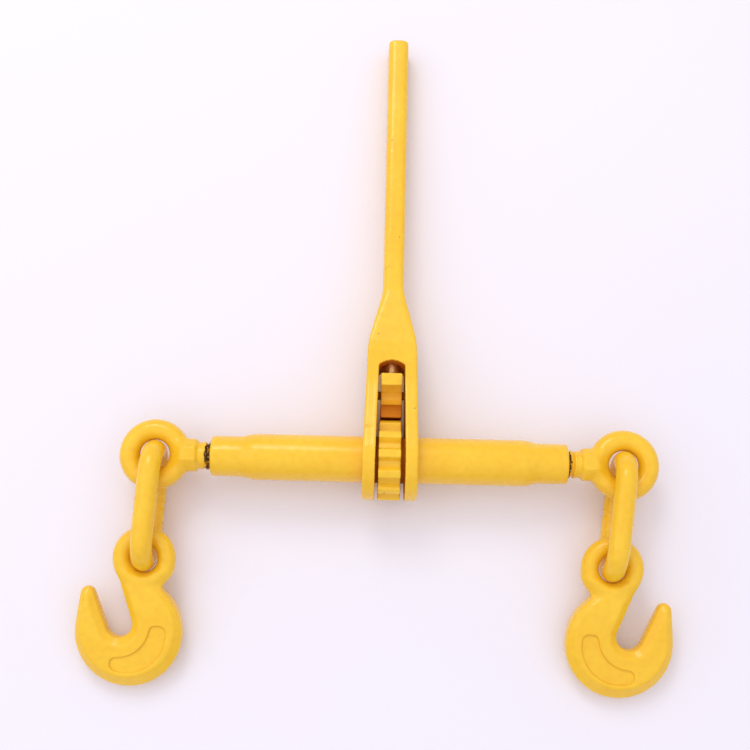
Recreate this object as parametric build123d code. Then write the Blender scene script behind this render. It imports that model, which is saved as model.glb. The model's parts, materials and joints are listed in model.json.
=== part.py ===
from build123d import *
from math import asin, atan2, cos, degrees, hypot, radians, sin
import os

# Ratchet load binder, millimetres. +Z is up and the binder lies flat on its side: the barrel runs
# along X, the handle points along +Y and the links and grab hooks point along -Y.
# The origin is on the floor, under the middle of the whole footprint.
# Every sub-part is first built about the middle of the barrel's axis, and then moved there.

# Barrel and ratchet gear
BARREL_LENGTH = 254.0
BARREL_RADIUS = 16.5
BARREL_BORE_RADIUS = 11.5
SWAGE_RADIUS = 14.5
SWAGE_LENGTH = 22.0
SWAGE_RAMP = 8.0
THREAD_RADIUS = 10.0
THREAD_CLEARANCE = 0.2
GEAR_RADIUS = 29.0
GEAR_ROOT_RADIUS = 24.0
GEAR_WIDTH = 16.0
GEAR_TEETH = 12
TOOTH_TOP_ANGLE = 11.0
TOOTH_ROOT_ANGLE = 20.4
GEAR_BORE_CLEARANCE = 0.05
LOCK_PIN_RADIUS = 2.0
LOCK_PIN_DEPTH = 3.5
LOCK_PIN_SINK = 0.2
LOCK_PIN_VALLEYS = (6, 9)

# Handle: u runs from the barrel's axis to the tip, v across its depth
HANDLE_LENGTH = 327.0
HANDLE_SIDE_PLAY = 0.45
RING_RADIUS = 29.0
RING_BORE_CLEARANCE = 0.3
FORK_WIDTH = 39.4
FORK_GAP = 21.0
THROAT_WIDTH = 35.5
THROAT_GAP = 18.4
SLOT_SIDE_END = 66.4
SLOT_END = 69.6
SHOULDER_START = 83.5
NECK_START = 124.0
CHEEK_DEPTH = 34.0
CHEEK_FLARE = 1.5
RING_FLAT = 3.0
BAR_WIDTH = 15.2
BAR_DEPTH = 24.0
BAR_BEVEL = 3.6
PIVOT_FIT = 0.1

# Reversible pawl, about its own pin
PAWL_PIN_REACH = 47.0
PAWL_PIN_RADIUS = 3.0
PAWL_WIDTH = 15.6
PAWL_TILT = 18.0
PAWL_FLAT = 13.0
PAWL_FLAT_HALF = 5.5
PAWL_CLAW_REACH = 23.2
PAWL_HUB_RADIUS = 17.2
PAWL_CLAW_INNER_ANGLE = 30.9
PAWL_CLAW_OUTER_ANGLE = 54.0
PAWL_WAIST = 10.0
PAWL_WAIST_DROP = 4.5
PAWL_EAR_HALF = 17.3
PAWL_EAR_BOTTOM = 4.2
PAWL_EAR_TOP = 13.2
PAWL_EAR_STEP = 2.4
PAWL_PIN_INSET = 1.4

# Plunger and spring that hold the pawl in each of its three positions
PLUNGER_RADIUS = 5.8
PLUNGER_LENGTH = 14.0
PLUNGER_GAP = 0.25
PILOT_RADIUS = 3.2
PILOT_LENGTH = 6.0
PLUNGER_CHAMFER = 0.6
PLUNGER_SINK = 2.0
BORE_RADIUS = 6.1
BORE_END = 100.0
SPRING_RADIUS = 4.7
SPRING_WIRE_RADIUS = 0.7
SPRING_TURNS = 8
SPRING_END_GAP = 0.1

# Eye screws, a left-hand one at -X and a right-hand one at +X
EYE_REACH = 40.8
EYE_RING_RADIUS = 18.0
EYE_TUBE_RADIUS = 7.5
COLLAR_RADIUS = 12.1
COLLAR_START = 20.0
COLLAR_END = 31.2
NECK_END = 36.6
NECK_RADIUS = 9.7
BLEND_START = 14.0
BLEND_RADIUS = 8.2
SCREW_INNER_END = 5.5
SPIGOT_RADIUS = 7.0
STOP_SHOULDER = 12.4
STOP_PIN_RADIUS = 1.5
STOP_PIN_LENGTH = 19.0
STOP_PIN_CENTRE = 7.5
WASHER_START = 9.2
WASHER_THICKNESS = 3.0
WASHER_RADIUS = 11.2
WASHER_BORE_RADIUS = 7.3

# Chain links, one between each eye screw and its hook, standing on edge
LINK_WIRE_RADIUS = 7.8
LINK_LENGTH = 92.6
LINK_WIDTH = 50.0
LINK_SLACK = 2.4
LINK_TO_HOOK = 73.5

# Grab hooks: x across the hook, y back towards the link, about the centre of the hook's own eye
HOOK_EYE_RADIUS = 22.6
HOOK_HOLE_RADIUS = 9.75
HOOK_EYE_THICKNESS = 13.0
HOOK_EYE_ROUND = 5.6
HOOK_THICKNESS = 18.0
HOOK_BODY_RADIUS = 38.2
HOOK_BODY_BEVEL = 5.0
HOOK_BODY_X = -11.2
HOOK_BODY_Y = -52.0
THROAT_RADIUS = 9.3
THROAT_X = -17.7
THROAT_Y = -45.7
THROAT_LEAN = 17.6
HORN_THICKNESS = 14.0
SHANK_THICKNESS = 15.0
HORN_LEAN = 10.8
HORN_TIP_RADIUS = 5.2
HORN_TIP_X = -39.9
HORN_TIP_Y = -24.2
SHANK_ANGLE = 13.0
NOTCH_X = 9.0
NOTCH_Y = -21.0
NOTCH_STEP = 4.5
POCKET_DEPTH = 0.8
POCKET_INNER_RADIUS = 22.8
POCKET_OUTER_RADIUS = 27.3
POCKET_TURN = -8.5
POCKET_HALF_ANGLE = 50.0
POCKET_CORNER = 3.5

# How the loose parts lie, by side, in degrees outwards from straight along -Y
LEFT, RIGHT = -1, 1
LINK_LEAN = {LEFT: 3.4, RIGHT: -6.3}
HOOK_LEAN = {LEFT: 10.1, RIGHT: 5.9}
SIDE_NAMES = {LEFT: "left", RIGHT: "right"}

HALF_BARREL = BARREL_LENGTH / 2
EYE_X = HALF_BARREL + EYE_REACH
BOW_RADIUS = LINK_WIDTH / 2 - LINK_WIRE_RADIUS
LINK_STRAIGHT = LINK_LENGTH - LINK_WIDTH
TIP_REACH = hypot(HANDLE_LENGTH, BAR_DEPTH / 2)
BAR_DROP = degrees(asin(RING_RADIUS / TIP_REACH) - atan2(BAR_DEPTH / 2, HANDLE_LENGTH))
LINK_PITCH = degrees(asin((RING_RADIUS - LINK_WIDTH / 2) / (BOW_RADIUS - LINK_SLACK + LINK_STRAIGHT)))
HOOK_EYE_DROP = LINK_TO_HOOK * sin(radians(LINK_PITCH))
HOOK_REACH = hypot(HOOK_BODY_X, HOOK_BODY_Y) + HOOK_BODY_RADIUS - HOOK_BODY_BEVEL
HOOK_SKEW = degrees(atan2(-HOOK_BODY_X, -HOOK_BODY_Y))


def hook_pitch():
    """The hook hangs from its link by its eye and rests on the floor at its far end."""
    height = RING_RADIUS - HOOK_EYE_DROP
    slope = hypot(HOOK_REACH, HOOK_THICKNESS / 2)
    return degrees(asin(height / slope) - atan2(HOOK_THICKNESS / 2, HOOK_REACH))


def along_x(radius, start, end):
    """A round bar about the X axis, from start to end."""
    middle = (start + end) / 2
    return Pos(middle, 0, 0) * Rot(0, 90, 0) * Cylinder(radius, abs(end - start))


def turned(points):
    """A solid of revolution about X, from its (x, radius) outline."""
    outline = make_face(Polyline(*points, close=True))
    return revolve(outline, axis=Axis.X)


def handle_frame():
    """Places local (x, u, v) on the barrel's axis, with the handle's tip down on the floor."""
    return Pos(HANDLE_SIDE_PLAY, 0, 0) * Rot(-BAR_DROP, 0, 0)


def polar(radius, angle):
    """A point in the (u, v) plane, by its angle from the handle's direction."""
    return (radius * cos(radians(angle)), radius * sin(radians(angle)))


def mirrored(point):
    return (point[0], -point[1])


def profile_across(points, width):
    """Extrudes a (u, v) outline across X, centred."""
    plane = Plane(origin=(0, 0, 0), x_dir=(0, 1, 0), z_dir=(1, 0, 0))
    return extrude(plane * make_face(points), width / 2, both=True)


def barrel():
    ramp_end = HALF_BARREL - SWAGE_LENGTH
    ramp_start = ramp_end - SWAGE_RAMP
    bore = THREAD_RADIUS + THREAD_CLEARANCE
    outside = [(-HALF_BARREL, SWAGE_RADIUS), (-ramp_end, SWAGE_RADIUS), (-ramp_start, BARREL_RADIUS)]
    inside = [(-ramp_end, BARREL_BORE_RADIUS), (-ramp_end, bore), (-HALF_BARREL, bore)]
    outline = outside + [(-x, r) for x, r in reversed(outside)]
    outline += [(-x, r) for x, r in reversed(inside)] + inside
    tube = turned(outline)
    for valley in LOCK_PIN_VALLEYS:
        tube -= lock_pin(valley)
    return tube


def gear_angle(valley):
    """The direction of a tooth valley, half a pitch off the handle's own direction."""
    return (valley + 0.5) * 360 / GEAR_TEETH - BAR_DROP


def lock_pin(valley):
    length = GEAR_ROOT_RADIUS - BARREL_RADIUS + LOCK_PIN_DEPTH
    middle = GEAR_ROOT_RADIUS - LOCK_PIN_SINK - length / 2
    pin = Pos(0, 0, middle) * Cylinder(LOCK_PIN_RADIUS, length)
    return Rot(gear_angle(valley) - 90, 0, 0) * pin


def ratchet_gear():
    outline = []
    pitch = 360 / GEAR_TEETH
    for tooth in range(GEAR_TEETH):
        middle = tooth * pitch - BAR_DROP
        outline.append(polar(GEAR_ROOT_RADIUS, middle - TOOTH_ROOT_ANGLE / 2))
        outline.append(polar(GEAR_RADIUS, middle - TOOTH_TOP_ANGLE / 2))
        outline.append(polar(GEAR_RADIUS, middle + TOOTH_TOP_ANGLE / 2))
        outline.append(polar(GEAR_ROOT_RADIUS, middle + TOOTH_ROOT_ANGLE / 2))
    blank = profile_across(Polyline(*outline, close=True), GEAR_WIDTH)
    blank -= along_x(BARREL_RADIUS + GEAR_BORE_CLEARANCE, -GEAR_WIDTH, GEAR_WIDTH)
    for valley in LOCK_PIN_VALLEYS:
        blank -= lock_pin(valley)
    return blank


def gear_lock_pins():
    return Compound(children=[lock_pin(valley) for valley in LOCK_PIN_VALLEYS])


def handle_side():
    """The handle seen from the side: a ring, cheeks and a plain bar."""
    half_cheek = CHEEK_DEPTH / 2
    half_bar = BAR_DEPTH / 2
    upper = [
        (0, RING_RADIUS), (RING_RADIUS / 2, RING_RADIUS - RING_FLAT),
        (PAWL_PIN_REACH, half_cheek + CHEEK_FLARE), (SLOT_END, half_cheek),
        (SHOULDER_START, half_cheek), (NECK_START, half_bar), (HANDLE_LENGTH, half_bar),
    ]
    lower = [mirrored(point) for point in reversed(upper)]
    cheek = Polyline(*upper, *lower, close=True)
    return profile_across(cheek, FORK_WIDTH) + along_x(RING_RADIUS, -FORK_WIDTH / 2, FORK_WIDTH / 2)


def handle_front():
    """The handle seen from above: a fork that narrows slightly, then a shoulder and the bar."""
    half_fork = FORK_WIDTH / 2
    half_throat = THROAT_WIDTH / 2
    half_bar = BAR_WIDTH / 2
    outline = Polyline(
        (-half_fork, -RING_RADIUS - 1), (half_fork, -RING_RADIUS - 1), (half_fork, 0),
        (half_throat, SHOULDER_START), (half_bar, NECK_START), (half_bar, HANDLE_LENGTH),
        (-half_bar, HANDLE_LENGTH), (-half_bar, NECK_START), (-half_throat, SHOULDER_START),
        (-half_fork, 0), close=True,
    )
    return extrude(make_face(outline), RING_RADIUS + 1, both=True)


def fork_slot():
    """The slot for the gear and pawl, open at the ring and arched at its end."""
    half_gap = FORK_GAP / 2
    half_end = THROAT_GAP / 2
    sides = Polyline(
        (-half_end, SLOT_SIDE_END), (-half_gap, 0), (-half_gap, -RING_RADIUS - 2),
        (half_gap, -RING_RADIUS - 2), (half_gap, 0), (half_end, SLOT_SIDE_END),
    )
    arch = ThreePointArc((half_end, SLOT_SIDE_END), (0, SLOT_END), (-half_end, SLOT_SIDE_END))
    return extrude(make_face(sides + arch), RING_RADIUS + 2, both=True)


def handle():
    body = handle_side() & handle_front()
    long_edges = body.edges().filter_by(Axis.Y).filter_by(lambda e: e.length > HANDLE_LENGTH / 3)
    body = chamfer(long_edges, BAR_BEVEL)
    body -= fork_slot()
    body -= along_x(BARREL_RADIUS + RING_BORE_CLEARANCE, -FORK_WIDTH, FORK_WIDTH)
    body -= Pos(0, PAWL_PIN_REACH, 0) * along_x(PAWL_PIN_RADIUS, -FORK_WIDTH, FORK_WIDTH)
    bore_start = SLOT_SIDE_END - PLUNGER_SINK
    bore_length = BORE_END - bore_start
    bore = Rot(-90, 0, 0) * Cylinder(BORE_RADIUS, bore_length)
    body -= Pos(0, bore_start + bore_length / 2, 0) * bore
    return handle_frame() * body


def pawl_point(reach, angle):
    """A point of the pawl in (u, v), by its distance from the pin and angle off the barrel."""
    return (PAWL_PIN_REACH - reach * cos(radians(angle)), reach * sin(radians(angle)))


def pawl_half_outline():
    """Key points of the upper half, from the middle of the detent flats round to the hub."""
    tilt = radians(PAWL_TILT)
    flat_end_u = PAWL_PIN_REACH + PAWL_FLAT * cos(tilt) - PAWL_FLAT_HALF * sin(tilt)
    flat_end_v = PAWL_FLAT * sin(tilt) + PAWL_FLAT_HALF * cos(tilt)
    centre_flat = (PAWL_PIN_REACH + PAWL_FLAT, PAWL_FLAT * sin(tilt / 2) / cos(tilt / 2))
    side_flat = (flat_end_u, flat_end_v)
    ear_start = (PAWL_PIN_REACH + PAWL_EAR_TOP, flat_end_v + PAWL_EAR_STEP)
    ear_top = (PAWL_PIN_REACH + PAWL_EAR_TOP, PAWL_EAR_HALF)
    ear_bottom = (PAWL_PIN_REACH + PAWL_EAR_BOTTOM, PAWL_EAR_HALF)
    return [centre_flat, side_flat, ear_start, ear_top, ear_bottom]


def pawl_edges(side):
    """The pawl's outline on one side of the handle's mid-plane."""
    points = pawl_half_outline()
    waist = (PAWL_PIN_REACH - PAWL_WAIST_DROP, PAWL_WAIST)
    outer = pawl_point(PAWL_CLAW_REACH, PAWL_CLAW_OUTER_ANGLE)
    middle = pawl_point(PAWL_CLAW_REACH, (PAWL_CLAW_OUTER_ANGLE + PAWL_CLAW_INNER_ANGLE) / 2)
    inner = pawl_point(PAWL_CLAW_REACH, PAWL_CLAW_INNER_ANGLE)
    root = pawl_point(PAWL_HUB_RADIUS, PAWL_CLAW_INNER_ANGLE)
    flip = mirrored if side < 0 else tuple
    edges = Polyline(*[flip(p) for p in points])
    edges += ThreePointArc(flip(points[-1]), flip(waist), flip(outer))
    edges += ThreePointArc(flip(outer), flip(middle), flip(inner))
    edges += Line(flip(inner), flip(root))
    return edges


def pawl():
    top = pawl_half_outline()[0]
    root = pawl_point(PAWL_HUB_RADIUS, PAWL_CLAW_INNER_ANGLE)
    hub = (PAWL_PIN_REACH - PAWL_HUB_RADIUS, 0)
    outline = pawl_edges(1) + pawl_edges(-1)
    outline += Line(top, mirrored(top))
    outline += ThreePointArc(root, hub, mirrored(root))
    body = profile_across(outline, PAWL_WIDTH)
    body -= Pos(0, PAWL_PIN_REACH, 0) * along_x(PAWL_PIN_RADIUS + PIVOT_FIT, -PAWL_WIDTH, PAWL_WIDTH)
    return handle_frame() * body


def pawl_pin():
    half = FORK_WIDTH / 2 - PAWL_PIN_INSET
    pin = along_x(PAWL_PIN_RADIUS, -half, half)
    return handle_frame() * Pos(0, PAWL_PIN_REACH, 0) * pin


def along_u(radius, start, end):
    """A round bar along the handle's own direction, from start to end."""
    return Pos(0, (start + end) / 2, 0) * Rot(-90, 0, 0) * Cylinder(radius, end - start)


def plunger_start():
    return PAWL_PIN_REACH + PAWL_FLAT + PLUNGER_GAP


def pawl_plunger():
    start = plunger_start()
    back = start + PLUNGER_LENGTH
    head = along_u(PLUNGER_RADIUS, start, back)
    head = chamfer(head.edges(), PLUNGER_CHAMFER)
    return handle_frame() * (head + along_u(PILOT_RADIUS, back - PLUNGER_SINK, back + PILOT_LENGTH))


def pawl_spring():
    end_gap = SPRING_WIRE_RADIUS + SPRING_END_GAP
    start = plunger_start() + PLUNGER_LENGTH + end_gap
    height = BORE_END - end_gap - start
    path = Helix(height / SPRING_TURNS, height, SPRING_RADIUS)
    wire = Plane(origin=path @ 0, z_dir=path % 0) * Circle(SPRING_WIRE_RADIUS)
    coil = sweep(wire, path=path, is_frenet=True)
    return handle_frame() * Pos(0, start, 0) * Rot(-90, 0, 0) * coil


def eye_screw(side):
    """An eye forged on a screw, with its centre at the origin and its screw towards +X."""
    inner_end = EYE_X - SCREW_INNER_END
    shoulder = EYE_X - STOP_SHOULDER
    body = Torus(EYE_RING_RADIUS, EYE_TUBE_RADIUS)
    body += turned([
        (BLEND_START, 0), (BLEND_START, BLEND_RADIUS), (COLLAR_START, COLLAR_RADIUS),
        (COLLAR_END, COLLAR_RADIUS), (NECK_END, NECK_RADIUS), (NECK_END, THREAD_RADIUS),
        (shoulder, THREAD_RADIUS), (shoulder, SPIGOT_RADIUS), (inner_end, SPIGOT_RADIUS),
        (inner_end, 0),
    ])
    pin_hole = Cylinder(STOP_PIN_RADIUS, 4 * SPIGOT_RADIUS)
    body -= Pos(EYE_X - STOP_PIN_CENTRE, 0, 0) * pin_hole
    placed = Pos(-EYE_X, 0, 0) * body
    return placed if side == LEFT else Rot(0, 0, 180) * placed


def stop_washer(side):
    ends = (side * WASHER_START, side * (WASHER_START + WASHER_THICKNESS))
    washer = along_x(WASHER_RADIUS, min(ends), max(ends))
    return washer - along_x(WASHER_BORE_RADIUS, min(ends) - 1, max(ends) + 1)


def stop_pin(side):
    pin = Cylinder(STOP_PIN_RADIUS, STOP_PIN_LENGTH)
    return Pos(side * STOP_PIN_CENTRE, 0, 0) * pin


def link_frame(side):
    """Places a link's own (across, length, height) at the eye, tipped until it meets the floor."""
    return Pos(side * EYE_X, 0, 0) * Rot(0, 0, side * LINK_LEAN[side]) * Rot(LINK_PITCH, 0, 0)


def chain_link(side):
    near = LINK_SLACK - BOW_RADIUS
    far = near - LINK_STRAIGHT
    path = Line((near, BOW_RADIUS), (far, BOW_RADIUS))
    path += ThreePointArc((far, BOW_RADIUS), (far - BOW_RADIUS, 0), (far, -BOW_RADIUS))
    path += Line((far, -BOW_RADIUS), (near, -BOW_RADIUS))
    path += ThreePointArc((near, -BOW_RADIUS), (near + BOW_RADIUS, 0), (near, BOW_RADIUS))
    upright = Plane(origin=(0, 0, 0), x_dir=(0, 1, 0), z_dir=(1, 0, 0))
    start = (0, near, BOW_RADIUS)
    section = Plane(origin=start, z_dir=(0, -1, 0)) * Circle(LINK_WIRE_RADIUS)
    return link_frame(side) * sweep(section, path=Wire(upright * path))


def hook_frame(side):
    """Places a hook in its link, leaning outwards, with its far end down on the floor."""
    eye = link_frame(side) * Pos(0, -LINK_TO_HOOK, 0)
    lean = -side * HOOK_LEAN[side]
    place = Pos(eye.position.X, eye.position.Y, eye.position.Z)
    return place * Rot(0, 0, -lean) * Rot(hook_pitch(), 0, 0)


def grown(face, thickness):
    return extrude(face, thickness / 2, both=True)


def throat():
    """The slot that grabs a chain link: parallel sides and a round bottom."""
    length = 3 * HOOK_EYE_RADIUS
    mouth = Pos(0, length / 2) * Rectangle(2 * THROAT_RADIUS, length)
    slot = Circle(THROAT_RADIUS) + mouth
    return Pos(THROAT_X, THROAT_Y) * Rot(0, 0, THROAT_LEAN) * slot


def horn():
    """The free side of the throat, from the body's rim up to a rounded tip."""
    across = HOOK_BODY_RADIUS * cos(radians(HORN_LEAN))
    along = HOOK_BODY_RADIUS * sin(radians(HORN_LEAN))
    outline = Polyline(
        (HOOK_BODY_X, HOOK_BODY_Y), (HOOK_BODY_X - across, HOOK_BODY_Y + along),
        (HORN_TIP_X - HORN_TIP_RADIUS, HORN_TIP_Y), (HORN_TIP_X + HORN_TIP_RADIUS, HORN_TIP_Y),
        (THROAT_X - THROAT_RADIUS, THROAT_Y), close=True,
    )
    return make_face(outline) + Pos(HORN_TIP_X, HORN_TIP_Y) * Circle(HORN_TIP_RADIUS)


def shank():
    """The web that joins the hook's eye to its body beside the throat."""
    side = -HOOK_EYE_RADIUS * cos(radians(SHANK_ANGLE))
    return make_face(Polyline(
        (0, 0), (side, -HOOK_EYE_RADIUS * sin(radians(SHANK_ANGLE))),
        (THROAT_X + THROAT_RADIUS, THROAT_Y), (HOOK_EYE_RADIUS, HOOK_BODY_Y),
        (NOTCH_X, NOTCH_Y), (NOTCH_X + NOTCH_STEP, NOTCH_Y + NOTCH_STEP), close=True,
    ))


def pocket():
    """A shallow kidney-shaped recess in each face of the body."""
    face = Pos(HOOK_BODY_X, HOOK_BODY_Y) * Circle(POCKET_OUTER_RADIUS)
    face -= Pos(THROAT_X, THROAT_Y) * Circle(POCKET_INNER_RADIUS)
    reach = 3 * POCKET_OUTER_RADIUS
    middle = degrees(atan2(HOOK_BODY_Y - THROAT_Y, HOOK_BODY_X - THROAT_X)) + POCKET_TURN
    corners = [(0, 0)]
    for angle in (-POCKET_HALF_ANGLE, 0, POCKET_HALF_ANGLE):
        turn = radians(middle + angle)
        corners.append((reach * cos(turn), reach * sin(turn)))
    wedge = Pos(THROAT_X, THROAT_Y) * make_face(Polyline(*corners, close=True))
    face = face & wedge
    return fillet(face.vertices(), POCKET_CORNER)


def hook_shape():
    """The forged hook, in its own flat plane."""
    body = Pos(HOOK_BODY_X, HOOK_BODY_Y) * Cylinder(HOOK_BODY_RADIUS, HOOK_THICKNESS)
    body = chamfer(body.edges().filter_by(GeomType.CIRCLE), HOOK_BODY_BEVEL)
    body += grown(horn(), HORN_THICKNESS)
    body += grown(shank(), SHANK_THICKNESS)
    body -= grown(throat(), 2 * HOOK_THICKNESS)
    body -= Cylinder((HOOK_EYE_RADIUS + HOOK_HOLE_RADIUS) / 2, HOOK_THICKNESS)
    eye = Cylinder(HOOK_EYE_RADIUS, HOOK_EYE_THICKNESS)
    eye -= Cylinder(HOOK_HOLE_RADIUS, HOOK_EYE_THICKNESS)
    body += fillet(eye.edges().filter_by(GeomType.CIRCLE), HOOK_EYE_ROUND)
    for face_z in (HOOK_THICKNESS / 2, -HOOK_THICKNESS / 2):
        body -= Pos(0, 0, face_z) * grown(pocket(), 2 * POCKET_DEPTH)
    return body


def grab_hook(side):
    shape = hook_shape() if side == LEFT else hook_shape().mirror(Plane.YZ)
    return hook_frame(side) * Rot(0, 0, -side * HOOK_SKEW) * shape


def sub_parts():
    parts = {
        "barrel": barrel(),
        "ratchet_gear": ratchet_gear(),
        "gear_lock_pins": gear_lock_pins(),
        "handle": handle(),
        "pawl": pawl(),
        "pawl_pin": pawl_pin(),
        "pawl_plunger": pawl_plunger(),
        "pawl_spring": pawl_spring(),
    }
    for side, name in SIDE_NAMES.items():
        parts[f"eye_screw_{name}"] = eye_screw(side)
        parts[f"stop_washer_{name}"] = stop_washer(side)
        parts[f"stop_pin_{name}"] = stop_pin(side)
        parts[f"chain_link_{name}"] = chain_link(side)
        parts[f"grab_hook_{name}"] = grab_hook(side)
    return parts


def origin_shift(parts):
    """From the barrel's middle to the floor, under the middle of the footprint."""
    boxes = [solid.bounding_box() for solid in parts.values()]
    left, right = min(b.min.X for b in boxes), max(b.max.X for b in boxes)
    front, back = min(b.min.Y for b in boxes), max(b.max.Y for b in boxes)
    floor = min(b.min.Z for b in boxes)
    return Pos(-(left + right) / 2, -(front + back) / 2, -floor)


def main():
    os.makedirs("parts", exist_ok=True)
    parts = sub_parts()
    shift = origin_shift(parts)
    for name, solid in parts.items():
        export_step(shift * solid, f"parts/{name}.step")
    print("barrel axis at", [round(c, 4) for c in shift.position])


main()
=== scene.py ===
import bpy
import json
import numpy as np
from itertools import combinations, product
from math import atan2, cos, radians, sin
from mathutils import Matrix, Vector


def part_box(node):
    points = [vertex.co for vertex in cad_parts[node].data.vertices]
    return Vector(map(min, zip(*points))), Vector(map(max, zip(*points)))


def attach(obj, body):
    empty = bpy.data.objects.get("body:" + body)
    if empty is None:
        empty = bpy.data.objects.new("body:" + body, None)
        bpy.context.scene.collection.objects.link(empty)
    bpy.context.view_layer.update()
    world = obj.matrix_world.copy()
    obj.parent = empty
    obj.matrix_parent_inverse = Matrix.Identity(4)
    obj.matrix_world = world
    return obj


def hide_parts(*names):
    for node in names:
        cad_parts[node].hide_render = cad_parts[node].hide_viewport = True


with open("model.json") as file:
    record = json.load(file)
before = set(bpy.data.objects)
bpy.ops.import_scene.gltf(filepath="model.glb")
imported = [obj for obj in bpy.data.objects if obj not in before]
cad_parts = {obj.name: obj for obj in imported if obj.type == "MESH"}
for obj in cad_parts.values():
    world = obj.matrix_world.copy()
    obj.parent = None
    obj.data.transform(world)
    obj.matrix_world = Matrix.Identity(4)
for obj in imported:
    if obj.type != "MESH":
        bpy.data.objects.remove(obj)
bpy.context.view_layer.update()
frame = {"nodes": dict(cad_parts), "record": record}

# Ratchet load binder. Every piece is a field of distances in millimetres, negative inside, in the
# piece's own axes. surface_net() turns a field into a mesh, which place() puts where the frame says.
MM = 0.001
COARSE = 1.0
LEFT, RIGHT = -1, 1
SIDE_NAMES = {LEFT: "left", RIGHT: "right"}

JOINTS = {joint["name"]: joint for joint in frame["record"]["behaviour"]["joints"]}
MOUNTS = {mount["name"]: mount for mount in frame["record"]["mounts"]}
AXIS = np.array(JOINTS["handle_swing"]["pos_m"])
PAWL_PIN = np.array(JOINTS["pawl_tilt"]["pos_m"])
HANDLE_DIRECTION = np.array(JOINTS["plunger_slide"]["axis"])
X_AXIS = np.array([1.0, 0.0, 0.0])
Z_AXIS = np.array([0.0, 0.0, 1.0])

# Camera: above the binder, tipped a little back from straight down
CAMERA_DISTANCE = 0.853
CAMERA_AZIMUTH = -0.48
CAMERA_ELEVATION = 79.27
CAMERA_ROLL = 0.92
CAMERA_LENS = 55.8
CAMERA_TARGET = (-0.0117, 0.0634, -0.009)


# ---------------------------------------------------------------- meshing

def smooth_min(a, b, k):
    """The union of two fields, blended over a width of k."""
    h = np.maximum(k - np.abs(a - b), 0) / k
    return np.minimum(a, b) - h * h * k / 4


def smooth_max(a, b, k):
    """What two fields share, with its edge rounded over a width of k."""
    return -smooth_min(-a, -b, k)


def smooth_cut(a, b, k):
    """Field a without field b."""
    return smooth_max(a, -b, k)


def ease(value, start, end):
    """0 before start, 1 after end, and smooth between."""
    t = np.clip((value - start) / (end - start), 0, 1)
    return t * t * (3 - 2 * t)


def between(value, start, end):
    """Negative from start to end."""
    return np.abs(value - (start + end) / 2) - (end - start) / 2


def bump_at(value, middle, width):
    """A rounded rise to 1 at the middle."""
    return np.exp(-((value - middle) / width) ** 2)


def dents(x, y, z, size, seed):
    """Gentle uneven waves between -1 and 1, about size millimetres long, for a forged skin."""
    rng = np.random.default_rng(seed)
    total = 0
    for _ in range(7):
        direction = rng.normal(size=3)
        direction *= 2 * np.pi / size / np.linalg.norm(direction) * rng.uniform(0.6, 1.5)
        total = total + np.sin(direction[0] * x + direction[1] * y + direction[2] * z + rng.uniform(0, 6.3))
    return total / 7


def slope(field, points, reach=0.02):
    """The field's gradient at each point."""
    columns = []
    for axis in range(3):
        shift = np.zeros(3)
        shift[axis] = reach
        columns.append((field(*(points + shift).T) - field(*(points - shift).T)) / (2 * reach))
    return np.stack(columns, 1)


def cell_points(value, cells):
    """One point for each cell that the surface crosses: the mean of where it cuts the cell's edges."""
    corners = np.array(list(product((0, 1), repeat=3)))
    at = np.stack([value[tuple((cells + corner).T)] for corner in corners], 1)
    total = np.zeros((len(cells), 3))
    count = np.zeros((len(cells), 1))
    for a, b in combinations(range(8), 2):
        if np.abs(corners[a] - corners[b]).sum() != 1:
            continue
        cut = (at[:, a] < 0) != (at[:, b] < 0)
        part = at[cut, a] / (at[cut, a] - at[cut, b])
        total[cut] += corners[a] + part[:, None] * (corners[b] - corners[a])
        count[cut] += 1
    return cells + total / count


def surface_net(field, low, high, step):
    """The closed surface where the field is zero, as points and four-sided faces."""
    step = step * COARSE
    lines = [np.arange(a - 2 * step, b + 3 * step, step) for a, b in zip(low, high)]
    value = field(*np.meshgrid(*lines, indexing="ij"))
    inside = value < 0
    near = tuple(n - 1 for n in value.shape)
    filled = sum(
        inside[i:i + near[0], j:j + near[1], k:k + near[2]].astype(int)
        for i, j, k in product((0, 1), repeat=3)
    )
    crossed = (filled > 0) & (filled < 8)
    index = np.full(crossed.shape, -1)
    index[crossed] = np.arange(crossed.sum())
    points = cell_points(value, np.argwhere(crossed)) * step + [line[0] for line in lines]
    faces = []
    for axis in range(3):
        turn = [axis, (axis + 1) % 3, (axis + 2) % 3]
        solid, ids = inside.transpose(turn), index.transpose(turn)
        here, there = solid[:-1, 1:-1, 1:-1], solid[1:, 1:-1, 1:-1]
        quads = np.stack([ids[:, :-1, :-1], ids[:, 1:, :-1], ids[:, 1:, 1:], ids[:, :-1, 1:]], -1)
        faces += [quads[here & ~there], quads[there & ~here][:, ::-1]]
    for _ in range(3):
        gradient = slope(field, points)
        size = np.maximum((gradient ** 2).sum(1), 0.05)
        move = gradient * (field(*points.T) / size)[:, None]
        points -= np.clip(move, -step / 2, step / 2)
    return points, np.concatenate(faces)


def place(name, shape, origin, axes, body, node, materials, pick=None):
    """Makes the piece from (field, low, high, step) with its own axes as rows, and joins it to the frame.

    pick gives the number of each face's material from the face's middle, in the piece's own axes.
    """
    points, faces = surface_net(*shape)
    mesh = bpy.data.meshes.new(name)
    world = np.array(origin) + points * MM @ np.array(axes)
    if np.linalg.det(axes) < 0:
        faces = faces[:, ::-1]
    mesh.from_pydata(world.tolist(), [], faces.tolist())
    mesh.shade_smooth()
    for material in materials:
        mesh.materials.append(material)
    if pick:
        centres = points[faces].mean(1)
        mesh.polygons.foreach_set("material_index", pick(*centres.T).astype(np.int32))
    piece = bpy.data.objects.new(name, mesh)
    bpy.context.scene.collection.objects.link(piece)
    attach(piece, body)
    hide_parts(node)
    return piece


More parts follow.
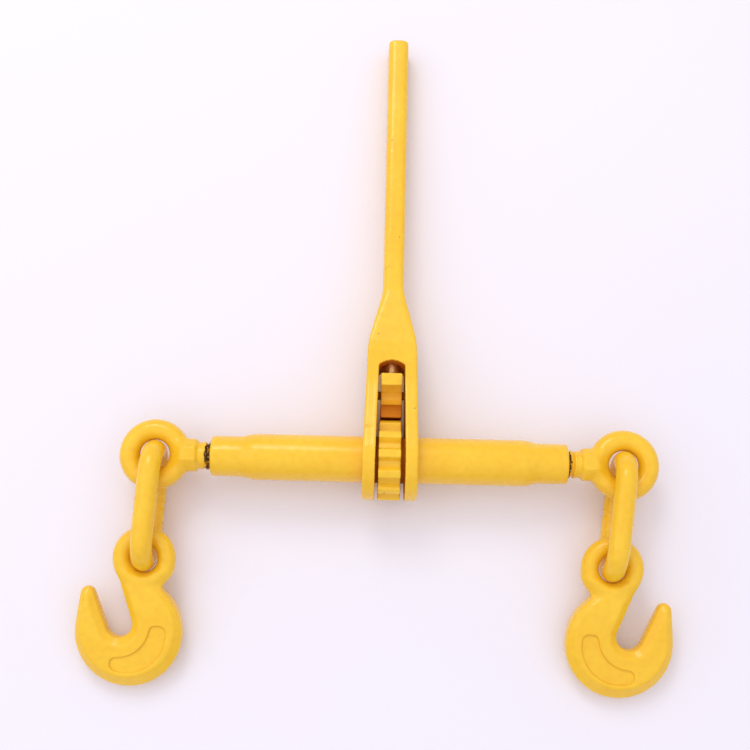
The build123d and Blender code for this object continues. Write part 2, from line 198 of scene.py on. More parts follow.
def handle_axes():
    """Rows for (x, along the handle, up across it)."""
    return np.array([X_AXIS, HANDLE_DIRECTION, np.cross(X_AXIS, HANDLE_DIRECTION)])


# ---------------------------------------------------------------- materials

class Nodes:
    """A material's node tree, with short ways to add nodes to it."""

    def __init__(self, name):
        self.material = bpy.data.materials.new(name)
        self.material.use_nodes = True
        self.tree = self.material.node_tree
        self.shader = self.tree.nodes["Principled BSDF"]
        self.position = self.add("ShaderNodeTexCoord").outputs["Object"]

    def add(self, kind, **settings):
        node = self.tree.nodes.new(kind)
        for key, value in settings.items():
            setattr(node, key, value)
        return node

    def put(self, socket, value):
        """Links an output to the socket, or sets the socket's own value."""
        if isinstance(value, bpy.types.NodeSocket):
            self.tree.links.new(value, socket)
        else:
            socket.default_value = value

    def shade(self, **values):
        for key, value in values.items():
            self.put(self.shader.inputs[key.replace("_", " ")], value)

    def math(self, operation, *values, clamp=False):
        node = self.add("ShaderNodeMath", operation=operation, use_clamp=clamp)
        for socket, value in zip(node.inputs, values):
            self.put(socket, value)
        return node.outputs[0]

    def noise(self, scale, detail=3.0, roughness=0.5, distortion=0.0, where=None):
        node = self.add("ShaderNodeTexNoise")
        self.put(node.inputs["Vector"], where or self.position)
        node.inputs["Scale"].default_value = scale
        node.inputs["Detail"].default_value = detail
        node.inputs["Roughness"].default_value = roughness
        node.inputs["Distortion"].default_value = distortion
        return node.outputs["Fac"]

    def step(self, value, low, high, start=0.0, end=1.0):
        """Maps low..high to start..end, smoothly, and holds the ends."""
        node = self.add("ShaderNodeMapRange", interpolation_type="SMOOTHSTEP")
        for socket, number in zip(node.inputs, (value, low, high, start, end)):
            self.put(socket, number)
        return node.outputs["Result"]

    def mix(self, amount, a, b):
        node = self.add("ShaderNodeMix", data_type="RGBA")
        self.put(node.inputs["Factor"], amount)
        self.put(node.inputs["A"], a)
        self.put(node.inputs["B"], b)
        return node.outputs["Result"]

    def cells(self, scale, stretch=0.4):
        """Round spots, one per cell: the distance from each spot's middle, and a number for each cell."""
        node = self.add("ShaderNodeTexVoronoi")
        warped = self.add("ShaderNodeVectorMath", operation="MULTIPLY_ADD")
        self.put(warped.inputs[0], self.noise_colour(scale * 2.2))
        self.put(warped.inputs[1], (stretch / scale,) * 3)
        self.put(warped.inputs[2], self.position)
        self.put(node.inputs["Vector"], warped.outputs[0])
        node.inputs["Scale"].default_value = scale
        number = self.add("ShaderNodeSeparateColor")
        self.put(number.inputs[0], node.outputs["Color"])
        return node.outputs["Distance"], number.outputs[0]

    def noise_colour(self, scale):
        node = self.add("ShaderNodeTexNoise")
        self.put(node.inputs["Vector"], self.position)
        node.inputs["Scale"].default_value = scale
        return node.outputs["Color"]

    def bump(self, height, distance, strength=1.0, under=None):
        node = self.add("ShaderNodeBump")
        node.inputs["Strength"].default_value = strength
        node.inputs["Distance"].default_value = distance
        self.put(node.inputs["Height"], height)
        if under:
            self.put(node.inputs["Normal"], under)
        return node.outputs["Normal"]


YELLOW = (0.92, 0.545, 0.022, 1)
YELLOW_LIGHT = (0.94, 0.585, 0.030, 1)
YELLOW_DEEP = (0.78, 0.375, 0.008, 1)
GRIME = (0.10, 0.045, 0.012, 1)
BARE_IRON = (0.09, 0.07, 0.055, 1)
# Brown for old grease that is also painted shade: the deep orange-brown of shaded walls, gaps and claws.
GREASE_AND_SHADE_BROWN = (0.60, 0.16, 0.010, 1)
THREAD_GREASE = (0.070, 0.028, 0.008, 1)
THREAD_CREST = (0.62, 0.42, 0.20, 1)
STEEL = (0.42, 0.38, 0.34, 1)
STEEL_TARNISH = (0.16, 0.12, 0.09, 1)
BRASS = (0.90, 0.62, 0.27, 1)
BRASS_TARNISH = (0.50, 0.28, 0.09, 1)
WIRE = (0.45, 0.42, 0.38, 1)
WIRE_TARNISH = (0.18, 0.15, 0.12, 1)
FLOOR_WARM = (0.880, 0.845, 0.930, 1)
FLOOR_COOL = (0.868, 0.842, 0.935, 1)
FILM_ROUGHNESS = 0.45


def enamel(name, chips=0.5, grime=0.0, specks=0.5, grease_and_shade=0.0):
    """Thick glossy yellow enamel over a forging, with pits, chips and smears, painted shade darkening its
    creases, and a brown mix of old grease and painted shade.
    """
    n = Nodes(name)
    broad = n.step(n.noise(26, 3), 0.35, 0.68)
    fine = n.step(n.noise(240, 3), 0.35, 0.7)
    colour = n.mix(broad, YELLOW, YELLOW_LIGHT)
    colour = n.mix(n.math("MULTIPLY", fine, 0.22), colour, YELLOW_DEEP)
    crease = n.add("ShaderNodeNewGeometry").outputs["Pointiness"]
    # Painted shade: concave creases, where pointiness is low, are darkened towards YELLOW_DEEP.
    crease_shade = n.step(crease, 0.497, 0.44)
    colour = n.mix(n.math("MULTIPLY", crease_shade, 0.55), colour, YELLOW_DEEP)
    smear = n.step(n.noise(70, 5, 0.65, 0.6), 0.66 - 0.26 * grime, 0.80 - 0.26 * grime)
    colour = n.mix(n.math("MULTIPLY", smear, 0.10 + 0.7 * grime), colour, GRIME)
    # Mixes in the brown of old grease and painted shade.
    colour = n.mix(grease_and_shade, colour, GREASE_AND_SHADE_BROWN)
    spot, number = n.cells(150)
    pit = n.math("MULTIPLY", n.step(spot, 0.13, 0.05), n.step(number, 1 - 0.10 * specks, 1 - 0.08 * specks))
    edge = n.step(crease, 0.52, 0.56)
    patch = n.step(n.noise(190, 4, 0.7), 0.70 - 0.05 * chips, 0.73 - 0.05 * chips)
    chip = n.math("MULTIPLY", edge, patch)
    damage = n.math("MAXIMUM", pit, chip)
    colour = n.mix(n.math("MULTIPLY", damage, 0.8), colour, BARE_IRON)
    peel = n.noise(620, 2)
    skin = n.bump(n.noise(110, 4, 0.55), 0.0003, 0.25)
    skin = n.bump(peel, 0.0001, 0.12, skin)
    skin = n.bump(n.math("SUBTRACT", 1.0, damage), 0.0003, 0.7, skin)
    gloss = n.math("MULTIPLY_ADD", fine, 0.10, 0.24)
    gloss = n.math("MULTIPLY_ADD", n.math("MAXIMUM", damage, smear), 0.25, gloss)
    gloss = n.math("ADD", gloss, FILM_ROUGHNESS * grease_and_shade)
    n.shade(Base_Color=colour, Roughness=gloss, Normal=skin)
    # The same amount also takes away coat and specular, so these shaded places don't reflect the sky.
    bright = 1 - grease_and_shade
    n.shade(Coat_Weight=0.25 * bright, Coat_Roughness=0.10, Specular_IOR_Level=0.30 * bright)
    return n.material


def thread_steel(name, overspray):
    """Rolled steel thread under old dark grease, with wiped bright crests and some yellow overspray."""
    n = Nodes(name)
    wiped = n.step(n.noise(420, 4, 0.6), 0.56, 0.66)
    colour = n.mix(wiped, THREAD_GREASE, THREAD_CREST)
    yellow = n.step(n.noise(300, 5, 0.7), 0.54, 0.58)
    colour = n.mix(n.math("MULTIPLY", yellow, overspray), colour, YELLOW_DEEP)
    n.shade(Base_Color=colour, Metallic=n.math("MULTIPLY", wiped, 0.35), Specular_IOR_Level=0.2)
    n.shade(Roughness=n.step(n.noise(500, 3), 0.3, 0.7, 0.25, 0.6))
    n.shade(Normal=n.bump(n.noise(900, 4, 0.6), 0.0002, 0.6))
    return n.material


def bare_steel(name, colour, tarnish):
    """Turned or drawn steel with tool marks, tarnish and oil."""
    n = Nodes(name)
    stain = n.step(n.noise(180, 5, 0.6, 0.4), 0.38, 0.66)
    n.shade(Base_Color=n.mix(stain, colour, tarnish), Metallic=0.9)
    n.shade(Roughness=n.step(n.noise(350, 3), 0.3, 0.7, 0.24, 0.48))
    n.shade(Normal=n.bump(n.noise(900, 3, 0.6), 0.0001, 0.5))
    return n.material


def floor_paint():
    n = Nodes("floor_paper")
    tone = n.step(n.noise(3.0, 3), 0.35, 0.65)
    n.shade(Base_Color=n.mix(tone, FLOOR_WARM, FLOOR_COOL), Roughness=0.75)
    n.shade(Normal=n.bump(n.noise(500, 3), 0.0001, 0.2))
    return n.material


# ---------------------------------------------------------------- camera, light and floor

HORIZON_GLOW = 0.60
ZENITH_GLOW = 1.05
SKY_COLOUR = (1.0, 0.975, 1.0, 1)
FLOOR_REACH = 3.0


def make_camera():
    camera = bpy.data.objects.new("camera", bpy.data.cameras.new("camera"))
    bpy.context.scene.collection.objects.link(camera)
    turn, tilt, roll = radians(CAMERA_AZIMUTH), radians(CAMERA_ELEVATION), radians(CAMERA_ROLL)
    look = np.array([sin(turn) * cos(tilt), cos(turn) * cos(tilt), -sin(tilt)])
    side = np.array([cos(turn), -sin(turn), 0.0])
    up = np.cross(side, look)
    right = cos(roll) * side + sin(roll) * up
    above = np.cross(right, look)
    place_at = AXIS + CAMERA_TARGET - CAMERA_DISTANCE * look
    matrix = np.eye(4)
    matrix[:3, :3] = np.stack([right, above, -look], 1)
    matrix[:3, 3] = place_at
    camera.matrix_world = Matrix(matrix.tolist())
    camera.data.lens = CAMERA_LENS
    camera.data.clip_start = 0.01
    bpy.context.scene.camera = camera


def area_light(name, at, target, size, power):
    data = bpy.data.lights.new(name, "AREA")
    data.shape, data.size, data.energy = "SQUARE", size, power
    light = bpy.data.objects.new(name, data)
    light.location = at
    light.rotation_euler = (Vector(target) - Vector(at)).to_track_quat("-Z", "Y").to_euler()
    bpy.context.scene.collection.objects.link(light)


def make_world():
    """A soft sky: brighter overhead than at the horizon."""
    world = bpy.data.worlds.new("studio")
    world.use_nodes = True
    tree = world.node_tree
    direction = tree.nodes.new("ShaderNodeTexCoord").outputs["Generated"]
    height = tree.nodes.new("ShaderNodeSeparateXYZ")
    tree.links.new(direction, height.inputs[0])
    glow = tree.nodes.new("ShaderNodeMapRange")
    glow.interpolation_type = "SMOOTHSTEP"
    tree.links.new(height.outputs["Z"], glow.inputs["Value"])
    glow.inputs["To Min"].default_value = HORIZON_GLOW
    glow.inputs["To Max"].default_value = ZENITH_GLOW
    background = tree.nodes["Background"]
    background.inputs["Color"].default_value = SKY_COLOUR
    tree.links.new(glow.outputs["Result"], background.inputs["Strength"])
    bpy.context.scene.world = world


def make_floor():
    mesh = bpy.data.meshes.new("floor")
    corners = [(-1, -1), (1, -1), (1, 1), (-1, 1)]
    mesh.from_pydata([(FLOOR_REACH * x, FLOOR_REACH * y, 0) for x, y in corners], [], [(0, 1, 2, 3)])
    mesh.materials.append(floor_paint())
    floor = bpy.data.objects.new("floor", mesh)
    bpy.context.scene.collection.objects.link(floor)


def make_studio():
    make_world()
    area_light("key", (-0.45, 1.35, 1.55), (0, -0.05, 0), 0.75, 8.5)
    area_light("fill", (-1.3, 0.3, 1.5), (0, 0, 0), 1.6, 4)
    bpy.context.scene.view_settings.view_transform = "Standard"
    make_floor()


# ---------------------------------------------------------------- handle

HANDLE_LENGTH = 327.0
FORK_HALF = 19.7
THROAT_HALF = 17.75
SHOULDER = 83.5
NECK = 124.0
BAR_HALF = 7.6
BAR_HALF_DEPTH = 12.0
CHEEK_HALF_DEPTH = 17.0
RING_RADIUS = 29.0
RING_BORE = 16.8
RING_SWELL = 9.0
PIN_REACH = 47.0
PIN_HOLE = 3.05
SLOT_HALF = 10.5
SLOT_TAPER = 1.3
SLOT_TAPER_END = 66.4
SLOT_END = 69.6
SLOT_ARCH = 3.2
PLUNGER_BORE = 6.1
PLUNGER_BORE_START = 64.0
PLUNGER_BORE_END = 100.0
SHOULDER_SLANT = 0.974


def slot_field(x, u):
    """The slot between the cheeks, with an arched end."""
    gap = SLOT_HALF - SLOT_TAPER * np.clip(u, 0, SLOT_TAPER_END) / SLOT_TAPER_END
    arch = SLOT_ARCH * (x / (SLOT_HALF - SLOT_TAPER)) ** 2
    return smooth_max(np.abs(x) - gap, u - SLOT_END + arch, 1.5)


def handle_field(x, u, v):
    wide = np.abs(x)
    fork = wide - FORK_HALF + (FORK_HALF - THROAT_HALF) * np.clip(u, 0, SHOULDER) / SHOULDER
    narrowing = (THROAT_HALF - BAR_HALF) / (NECK - SHOULDER)
    shoulder = (wide - THROAT_HALF + (u - SHOULDER) * narrowing) * SHOULDER_SLANT
    front = smooth_min(smooth_max(fork, shoulder, 1.6), wide - BAR_HALF, 2.0)
    deep = np.abs(v)
    thinner = np.clip((u - SHOULDER) / (NECK - SHOULDER), 0, 1)
    swell = RING_SWELL * (1 - ease(u, 8, 60))
    half = CHEEK_HALF_DEPTH + swell - (CHEEK_HALF_DEPTH - BAR_HALF_DEPTH) * thinner
    cheek = np.maximum(deep - half, -u)
    ring = np.hypot(u, v) - RING_RADIUS
    side = smooth_min(ring, cheek, 2.5)
    body = smooth_max(front, side, 2.0 + 3.4 * ease(u, 84, 132))
    body = smooth_max(body, u - HANDLE_LENGTH, 2.4)
    slot = slot_field(x, u)
    body = smooth_cut(body, slot, 1.0)
    body = smooth_cut(body, np.hypot(u, v) - RING_BORE, 1.0)
    body = smooth_cut(body, np.hypot(u - PIN_REACH, v) - PIN_HOLE, 0.6)
    bore = np.hypot(x, v) - PLUNGER_BORE
    bore = np.maximum(bore, np.maximum(PLUNGER_BORE_START - u, u - PLUNGER_BORE_END))
    body = smooth_cut(body, bore, 0.5)
    seam = 0.25 * bump_at(v, 0, 0.8) * ease(u, 84, 100)
    skin = 0.06 * dents(x, u, v, 26, 3) + 0.03 * dents(x, u, v, 9, 4)
    outside = ease(slot, 1.2, 3.0)
    return body + 0.1 * outside - skin * outside - seam


def slot_walls(x, u, v):
    """1 on the walls of the slot and the bores, which get the greasy enamel: old grease and painted shade
    in the narrow slot.
    """
    return slot_field(x, u) < 0.3


def make_handle(*materials):
    middle = (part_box("handle")[0].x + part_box("handle")[1].x) / 2
    origin = np.array([middle, AXIS[1], AXIS[2]])
    shape = (handle_field, (-20, -30, -30), (20, 328, 30), 0.85)
    place("handle_forging", shape, origin, handle_axes(), "handle", "handle", materials, pick=slot_walls)


# ---------------------------------------------------------------- ratchet gear and pawl

GEAR_TEETH = 12
GEAR_RADIUS = 29.0
GEAR_ROOT = 24.0
GEAR_HALF = 8.0
GEAR_BORE = 16.55
TOOTH_ROOT_HALF = 4.25
TOOTH_TAPER = 1.45
TOOTH_SLANT = 0.96


def gear_field(x, u, v):
    radius = np.hypot(u, v)
    pitch = 2 * np.pi / GEAR_TEETH
    angle = (np.arctan2(v, u) + pitch / 2) % pitch - pitch / 2
    rise = (radius - GEAR_ROOT) / (GEAR_RADIUS - GEAR_ROOT)
    half = TOOTH_ROOT_HALF - TOOTH_TAPER * rise
    flank = (np.abs(radius * angle) - half) * TOOTH_SLANT
    tooth = smooth_max(flank, radius - GEAR_RADIUS, 0.7)
    wheel = smooth_min(radius - GEAR_ROOT, tooth, 0.9)
    wheel = smooth_max(wheel, np.abs(x) - GEAR_HALF, 1.0)
    wheel = smooth_cut(wheel, radius - GEAR_BORE, 0.6)
    return wheel + 0.08 - 0.07 * dents(x, u, v, 11, 9)


def gear_grease_and_shade(x, u, v):
    """1 on the flat sides, which get the greasy enamel: old grease and painted shade in the gaps beside the
    cheeks.
    """
    return np.abs(x) > GEAR_HALF - 0.25


def make_gear(*materials):
    shape = (gear_field, (-9, -30, -30), (9, 30, 30), 0.55)
    place("ratchet_gear_wheel", shape, AXIS, handle_axes(), "barrel", "ratchet_gear", materials,
          pick=gear_grease_and_shade)


PAWL_HALF = 7.8
PAWL_HOLE = 3.1
EAR_CROWN = 1.4
WAIST_TOP = 4.3
CLAW_TOP = -9.9


def outline_distance(x, y, points):
    """Signed distance to a closed outline."""
    nearest = np.full(np.shape(x), 1e9)
    inside = np.zeros(np.shape(x), bool)
    for (ax, ay), (bx, by) in zip(points, points[1:] + points[:1]):
        ex, ey = bx - ax, by - ay
        t = np.clip(((x - ax) * ex + (y - ay) * ey) / (ex * ex + ey * ey), 0, 1)
        nearest = np.minimum(nearest, np.hypot(x - ax - t * ex, y - ay - t * ey))
        crosses = (ay > y) != (by > y)
        inside ^= crosses & (x < ax + (y - ay) * ex / (ey or 1e-9))
    return np.where(inside, -nearest, nearest)


def arc_between(start, middle, end, count=7):
    """Points on the smooth curve from start through middle to end, without its first."""
    ts = np.linspace(0, 1, count + 1)[1:]
    a, b, c = np.array(start), np.array(middle), np.array(end)
    control = 2 * b - (a + c) / 2
    return [tuple((1 - t) ** 2 * a + 2 * t * (1 - t) * control + t * t * c) for t in ts]


def pawl_outline():
    """(along the handle from the pin, up) round the pawl: detent flats, thumb ear, waist, claw and hub."""
    half = [(12.9, 2.05), (10.65, 9.2), (13.1, 11.7), (13.1, 17.2), (4.4, 17.2)]
    half += arc_between((4.4, 17.2), (-4.2, 10.0), (-10.2, 17.3))
    half += arc_between((-10.2, 17.3), (-12.2, 12.6), (-19.7, 11.6), 5)
    half += [(-14.8, 8.9)]
    hub = arc_between((-14.8, 8.9), (-17.1, 0), (-14.8, -8.9), 8)[:-1]
    return half + hub + [(w, -v) for w, v in reversed(half)]


PAWL_OUTLINE = pawl_outline()


def pawl_field(x, w, v):
    flat = outline_distance(w, v, PAWL_OUTLINE)
    ear = ease(np.abs(v), 12, 16) * ease(w, -3, 3) * (1 - ease(w, 6, 10))
    crown = EAR_CROWN * (x / PAWL_HALF) ** 2 * ear
    body = smooth_max(flat + crown, np.abs(x) - PAWL_HALF, 1.2)
    body = smooth_cut(body, np.hypot(w, v) - PAWL_HOLE, 0.5)
    return body + 0.15 - 0.08 * dents(x, w, v, 9, 12)


def pawl_grease_and_shade(x, w, v):
    """1 on the flanks, 2 in the waist, 3 on the claws: old grease of the gear, and painted shade deep in
    the fork.
    """
    top = np.where(w > WAIST_TOP, 0, np.where(w > CLAW_TOP, 2, 3))
    return np.where(np.abs(x) > PAWL_HALF - 0.3, 1, top)


def make_pawl(*materials):
    shape = (pawl_field, (-9, -24, -20), (9, 14, 20), 0.45)
    middle = (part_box("pawl")[0].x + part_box("pawl")[1].x) / 2
    origin = np.array([middle, PAWL_PIN[1], PAWL_PIN[2]])
    place("reversing_pawl", shape, origin, handle_axes(), "pawl", "pawl", materials, pick=pawl_grease_and_shade)


# ---------------------------------------------------------------- barrel

BARREL_HALF = 127.0
BARREL_RADIUS = 16.5
SWAGE_RADIUS = 14.5
SWAGE_END = 105.0
SWAGE_RAMP = 11.0
BARREL_BORE = 11.5
TAPPED_STEP = 1.3
MOUTH_STEP = 1.2
HIDDEN_HALF = 18.4
RUBBED_HALF = 23.2


def barrel_field(x, y, z):
    along = np.abs(x)
    radius = np.hypot(y, z)
    ramp = ease(along, SWAGE_END - SWAGE_RAMP, SWAGE_END + 3)
    outer = BARREL_RADIUS - (BARREL_RADIUS - SWAGE_RADIUS) * ramp
    swaged = ease(along, SWAGE_END - 6, SWAGE_END + 2)
    skin = swaged * (0.16 * dents(x, y, z, 14, 21) - 0.16) + 0.04 * dents(x, y, z, 40, 22) - 0.04
    tube = smooth_max(radius - outer - skin, along - BARREL_HALF, 2.2)
    bore = BARREL_BORE - TAPPED_STEP * ease(along, SWAGE_END - 0.3, SWAGE_END + 0.8)
    mouth = MOUTH_STEP * ease(along, BARREL_HALF - 1.6, BARREL_HALF)
    return smooth_cut(tube, radius - bore - mouth, 0.7)


def barrel_wear_and_shade(x, y, z):
    """1 beside the handle's rings, where they rub, and 2 between them, where old grease and painted shade
    darken the barrel inside the fork.
    """
    return np.where(np.abs(x) < HIDDEN_HALF, 2, np.where(np.abs(x) < RUBBED_HALF, 1, 0))


def make_barrel(*materials):
    shape = (barrel_field, (-128, -17, -17), (128, 17, 17), 0.8)
    axes = np.array([X_AXIS, np.cross(Z_AXIS, X_AXIS), Z_AXIS])
    place("barrel_tube", shape, AXIS, axes, "barrel", "barrel", materials, pick=barrel_wear_and_shade)


# ---------------------------------------------------------------- eye screws

EYE_RING = 18.0
EYE_TUBE = 7.5
COLLAR = 11.9
COLLAR_START = 14.5
COLLAR_END = 31.0
COLLAR_HALF_FACET = np.pi / 8
NECK_RADIUS = 9.6
NECK_START = 19.6
NECK_END = 36.4
RUNOUT_RADIUS = NECK_RADIUS - 0.6
THREAD_START = 34.6
THREAD_PITCH = 4.0
THREAD_DEPTH = 1.7
THREAD_RADIUS = 10.0
SHANK_START = 24.0
SPIGOT_ROOT = 137.7
SPIGOT_START = 155.4
SPIGOT_END = 162.3
SPIGOT_RADIUS = 7.0
STOP_PIN_AT = 160.3
STOP_PIN_RADIUS = 1.5
PAINT_END = {LEFT: 36.9, RIGHT: 38.9}
SPRAY_END = 42.5


def thread_radius(x, y, z, hand):
    """The height of a rolled thread with rounded crests and roots."""
    phase = x / THREAD_PITCH - hand * np.arctan2(z, y) / (2 * np.pi)
    wave = np.abs((phase % 1) * 2 - 1)
    ridge = ease(wave, 0.18, 0.82)
    return THREAD_RADIUS - THREAD_DEPTH * (1 - ridge)


def eye_screw_field(hand):
    def field(x, y, z):
        radius = np.hypot(y, z)
        angle = np.arctan2(z, y)
        ring = np.hypot(np.hypot(x, y) - EYE_RING, z) - EYE_TUBE
        facet = np.cos((angle + COLLAR_HALF_FACET) % (2 * COLLAR_HALF_FACET) - COLLAR_HALF_FACET)
        around = 0.35 * radius + 0.65 * radius * facet / 0.974
        collar = smooth_max(around - COLLAR, x - COLLAR_END, 2.4)
        slope_off = (np.abs(z) - 7.0 - (x - 15.0) * 1.1) * 0.67
        collar = smooth_max(collar, slope_off, 2.5)
        collar = smooth_max(collar, COLLAR_START - x, 3.0)
        eye = smooth_min(ring, collar, 3.0)
        neck = smooth_max(radius - NECK_RADIUS, between(x, NECK_START, NECK_END), 1.5)
        eye = smooth_min(eye, neck, 2.0)
        top = thread_radius(x, y, z, hand)
        start = ease(x, THREAD_START - 2, THREAD_START + 2)
        top = RUNOUT_RADIUS + (top - RUNOUT_RADIUS) * start
        screw = smooth_max((radius - top) * 0.8, between(x, SHANK_START, SPIGOT_START), 1.5)
        spigot = smooth_max(radius - SPIGOT_RADIUS, between(x, SPIGOT_ROOT, SPIGOT_END), 0.8)
        body = smooth_min(eye, smooth_min(screw, spigot, 0.4), 0.8)
        body = smooth_cut(body, np.hypot(x - STOP_PIN_AT, y) - STOP_PIN_RADIUS, 0.3)
        painted = 1 - ease(x, 30, 36)
        skin = 0.12 * dents(x, y, z, 17, 31) + 0.05 * dents(x, y, z, 7, 32) - 0.17
        seam = (0.18 * bump_at(z, 0, 0.9) - 0.1) * (1 - ease(x, 10, 22))
        return body - painted * (skin + seam)
    return field


def thread_faces(paint_end):
    """Picks 0 where the paint reaches, with an uneven border, 1 beside it and 2 on the clean thread."""
    def pick(x, y, z):
        around = np.arctan2(z, y)
        bare = x > paint_end + 0.5 * np.sin(3 * around) + 0.35 * np.sin(11 * around)
        return np.where(x > SPRAY_END, 2, bare)
    return pick


def make_eye_screw(side, *materials):
    name = SIDE_NAMES[side]
    eye = JOINTS[f"{name}_link_swing"]["pos_m"]
    shape = (eye_screw_field(-side), (-26, -26, -13), (163, 26, 13), 0.52)
    axes = np.array([-side * X_AXIS, -side * np.cross(Z_AXIS, X_AXIS), Z_AXIS])
    place(f"eye_screw_forging_{name}", shape, eye, axes, f"{name}_screw", f"eye_screw_{name}", materials,
          pick=thread_faces(PAINT_END[side]))


# ---------------------------------------------------------------- links

LINK_WIRE = 7.7
LINK_BOW = 17.2
LINK_HALF_STRAIGHT = 21.8
LINK_MIDDLE = -36.3
WELD = ((0.32, 3.3, 0.9), (0.36, -3.1, 0.8), (-0.22, 0.2, 1.5))


def link_field(x, y, z):
    """The eye is at the origin. The weld, two ridges and a dip, is on the lower arm."""
    along = y - LINK_MIDDLE
    past = np.maximum(np.abs(along) - LINK_HALF_STRAIGHT, 0)
    offset = np.hypot(past, z) - LINK_BOW
    lower = ease(-z, 4, 10)
    burr = sum(height * bump_at(along, middle, width) for height, middle, width in WELD)
    skin = 0.07 * dents(x, y, z, 15, 41) + 0.03 * dents(x, y, z, 6, 42)
    return np.hypot(offset, x) - LINK_WIRE - burr * lower - skin


def make_link(side, paint):
    name = SIDE_NAMES[side]
    eye = np.array(JOINTS[f"{name}_link_swing"]["pos_m"])
    hook = np.array(JOINTS[f"{name}_hook_swing"]["pos_m"])
    along = (eye - hook) / np.linalg.norm(eye - hook)
    across = np.cross(along, Z_AXIS)
    across /= np.linalg.norm(across)
    axes = np.array([across, along, np.cross(across, along)])
    shape = (link_field, (-8.4, -84, -26), (8.4, 12, 26), 0.5)
    place(f"chain_link_weldment_{name}", shape, eye, axes, f"{name}_link", f"chain_link_{name}", [paint])


# ---------------------------------------------------------------- hooks

HOOK_RING = 16.15
HOOK_TUBE = 6.4
HOOK_BODY = (-11.2, -52.0)
HOOK_BODY_RADIUS = 38.1
HOOK_HALF = 9.0
HORN_TIP = (-39.9, -24.2)
HORN_TIP_RADIUS = 5.1
THROAT = (-17.7, -45.7)
THROAT_RADIUS = 9.3
THROAT_LEAN = 17.6
RIM_HALF = 4.4
BEVEL_WIDTH = 5.6
FACE_SHIFT = 2.5
PLATE_START = 12.2
POCKET_OUTER = 27.3
POCKET_INNER = 22.8
POCKET_TURN = 8.5
POCKET_HALF_ANGLE = 50
POCKET_DEPTH = 1.5


def two_circles(x, y, big, big_radius, small, small_radius):
    """The outline that wraps a big circle and a small one."""
    dx, dy = small[0] - big[0], small[1] - big[1]
    length = np.hypot(dx, dy)
    dx, dy = dx / length, dy / length
    along = (x - big[0]) * dx + (y - big[1]) * dy
    across = np.abs((y - big[1]) * dx - (x - big[0]) * dy)
    lean = (big_radius - small_radius) / length
    straight = np.sqrt(1 - lean * lean)
    zone = -lean * across + straight * along
    flat = across * straight + along * lean - big_radius
    near = np.hypot(along, across) - big_radius
    far = np.hypot(along - length, across) - small_radius
    return np.where(zone < 0, near, np.where(zone > straight * length, far, flat))


def throat_field(x, y):
    """The throat: a slot with a round bottom that widens a little to its mouth."""
    lean = radians(THROAT_LEAN)
    along = -(x - THROAT[0]) * sin(lean) + (y - THROAT[1]) * cos(lean)
    across = (x - THROAT[0]) * cos(lean) + (y - THROAT[1]) * sin(lean)
    return np.hypot(np.minimum(along, 0), across) - THROAT_RADIUS - 0.012 * np.maximum(along, 0)


def hook_outline(x, y, shift):
    """The hook seen square on. shift moves the round of its body towards the eye."""
    centre = (HOOK_BODY[0], HOOK_BODY[1] + shift)
    body = two_circles(x, y, centre, HOOK_BODY_RADIUS, HORN_TIP, HORN_TIP_RADIUS)
    eye = np.hypot(x, y) - HOOK_RING - HOOK_TUBE
    flat = smooth_min(body, eye, 7.0)
    return smooth_cut(flat, throat_field(x, y), 1.2 + 4.0 * ease(y, -46, -26))


def pocket_field(x, y):
    """The kidney-shaped recess in each face, below the throat."""
    body = np.hypot(x - HOOK_BODY[0], y - HOOK_BODY[1]) - POCKET_OUTER
    throat = POCKET_INNER - np.hypot(x - THROAT[0], y - THROAT[1])
    middle = atan2(HOOK_BODY[1] - THROAT[1], HOOK_BODY[0] - THROAT[0]) - radians(POCKET_TURN)
    turn = np.arctan2(y - THROAT[1], x - THROAT[0]) - middle
    turn = np.abs((turn + np.pi) % (2 * np.pi) - np.pi)
    past = np.clip(turn - radians(POCKET_HALF_ANGLE), -1.5, 1.5)
    ends = np.hypot(x - THROAT[0], y - THROAT[1]) * np.sin(past)
    return smooth_max(smooth_max(body, throat, 4.0), ends, 5.0)


def hook_field(x, y, z):
    high = np.abs(z)
    outline = hook_outline(x, y, 0)
    face = hook_outline(x, y, FACE_SHIFT)
    half = HOOK_HALF - 1.3 * (1 - ease(-y, 12, 34))
    drop = HOOK_HALF - RIM_HALF
    bevel = (drop * face + BEVEL_WIDTH * (high - half) + drop * BEVEL_WIDTH) / np.hypot(drop, BEVEL_WIDTH)
    plate = smooth_max(outline, high - half, 1.0)
    plate = smooth_max(plate, bevel, 1.0)
    plate = smooth_max(plate, PLATE_START - np.hypot(x, y), 3.5)
    plate = smooth_max(plate, y + 7.0, 4.0)
    ring = np.hypot(np.hypot(x, y) - HOOK_RING, z) - HOOK_TUBE
    body = smooth_min(plate, ring, 3.0)
    pocket = smooth_max(pocket_field(x, y), half - POCKET_DEPTH - high, 0.8)
    body = smooth_cut(body, pocket, 0.7)
    skin = 0.06 * dents(x, y, z, 21, 51) + 0.03 * dents(x, y, z, 8, 52) - 0.08
    seam = 0.2 * bump_at(z, 0, 0.9) - 0.15
    return body - skin - seam


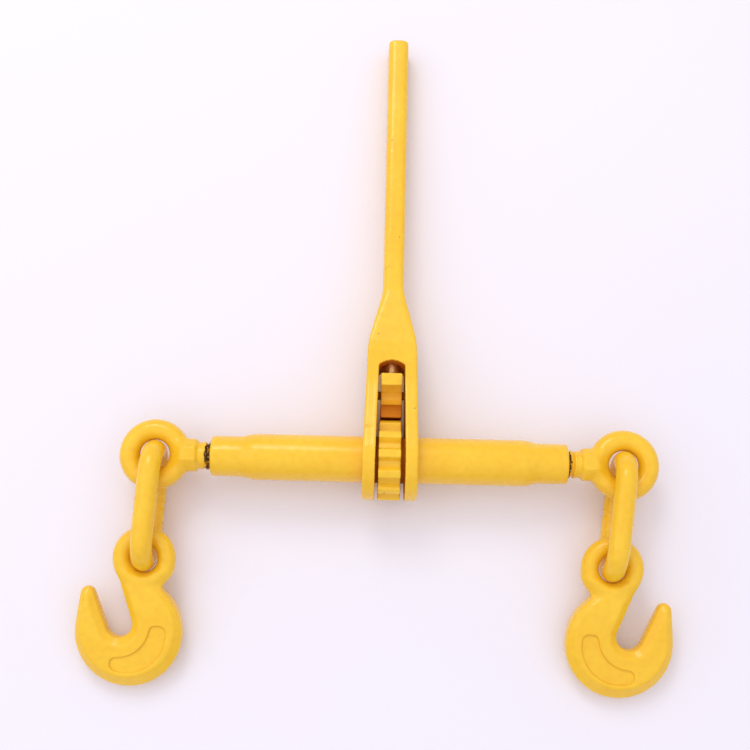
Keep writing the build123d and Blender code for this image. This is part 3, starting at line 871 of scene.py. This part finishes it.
def make_hook(side, paint):
    """The throat's own place and direction, in the record, say how the hook lies."""
    name = SIDE_NAMES[side]
    eye = np.array(JOINTS[f"{name}_hook_swing"]["pos_m"])
    mount = MOUNTS[f"grab_throat_{name}"]
    mouth = np.array(mount["axis"])
    normal = -side * np.cross(mouth, np.array(mount["pos_m"]) - eye)
    normal /= np.linalg.norm(normal)
    lean = radians(THROAT_LEAN)
    sideways = -side * np.cross(mouth, normal)
    x_row = cos(lean) * sideways - sin(lean) * mouth
    y_row = sin(lean) * sideways + cos(lean) * mouth
    axes = np.array([x_row, y_row, normal])
    shape = (hook_field, (-52, -92, -10), (29, 24, 10), 0.5)
    place(f"grab_hook_forging_{name}", shape, eye, axes, f"{name}_hook", f"grab_hook_{name}", [paint])


# ---------------------------------------------------------------- build

make_camera()
make_studio()
clean = enamel("enamel", chips=0.1)
rubbed = enamel("enamel_rubbed", chips=1.2, grime=0.15, specks=1.0)
worn = enamel("enamel_worn", chips=2.0, grime=0.12, specks=2.5)
# The next three carry old grease and painted shade, from a little to a lot, for the waist, claws, walls and
# gaps deep in the fork.
dull_shaded = enamel("enamel_dull_shaded", chips=1.0, grime=0.1, specks=1.0, grease_and_shade=0.40)
shaded_brown = enamel("enamel_shaded_brown", chips=1.0, grime=0.2, specks=1.0, grease_and_shade=0.85)
greasy_shaded = enamel("enamel_greasy_shaded", chips=1.0, grime=0.3, specks=1.0, grease_and_shade=0.9)
sprayed = thread_steel("thread_sprayed", 0.75)
thread = thread_steel("thread_greased", 0.0)
make_handle(rubbed, greasy_shaded)
make_gear(rubbed, greasy_shaded)
make_pawl(rubbed, greasy_shaded, dull_shaded, shaded_brown)
make_barrel(clean, worn, greasy_shaded)
for side in (LEFT, RIGHT):
    make_eye_screw(side, clean, sprayed, thread)
    make_link(side, clean)
    make_hook(side, clean)

steel = bare_steel("turned_steel", STEEL, STEEL_TARNISH)
plated = bare_steel("plunger_steel", BRASS, BRASS_TARNISH)
wire = bare_steel("spring_wire", WIRE, WIRE_TARNISH)
# The pawl pin gets the greasy enamel: painted shade for the pin seen in the dark gaps beside the pawl.
NODE_MATERIALS = {"pawl_pin": greasy_shaded, "gear_lock_pins": steel, "pawl_plunger": plated, "pawl_spring": wire}
for name in SIDE_NAMES.values():
    NODE_MATERIALS[f"stop_washer_{name}"] = steel
    NODE_MATERIALS[f"stop_pin_{name}"] = steel
for node, material in NODE_MATERIALS.items():
    slots = frame["nodes"][node].data.materials
    slots.clear()
    slots.append(material)
